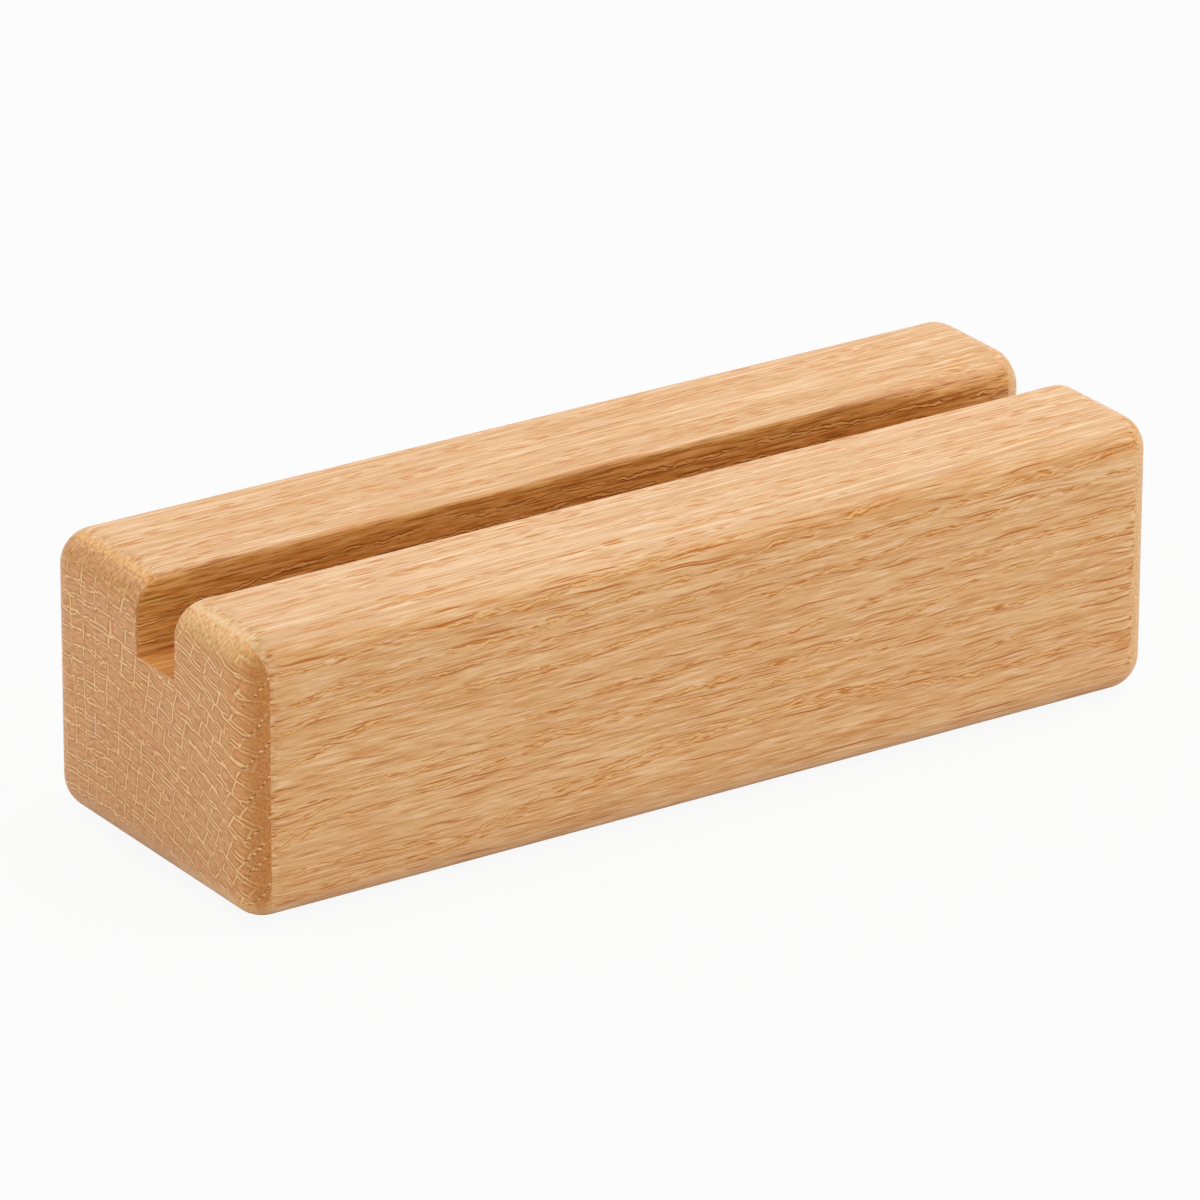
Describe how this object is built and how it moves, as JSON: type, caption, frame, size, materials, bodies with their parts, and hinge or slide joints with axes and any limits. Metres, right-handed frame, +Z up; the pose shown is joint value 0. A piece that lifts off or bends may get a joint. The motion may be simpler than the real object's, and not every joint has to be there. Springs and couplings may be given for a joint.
{
  "type": "recipe card stand",
  "caption": "Free-standing block of solid oak with rounded edges and a slot along the whole of its top, which holds a recipe card upright.",
  "frame": {"origin": "middle of the underside, where the block stands on the table", "axes": "+X along the block's length and slot, +Y to the back, +Z up; the front faces -Y"},
  "size_m": [0.145, 0.05, 0.04],
  "materials": {
    "oiled_oak": "satin oil"
  },
  "bodies": {
    "root": {"oak_block": "oiled_oak"}
  },
  "joints": []
}
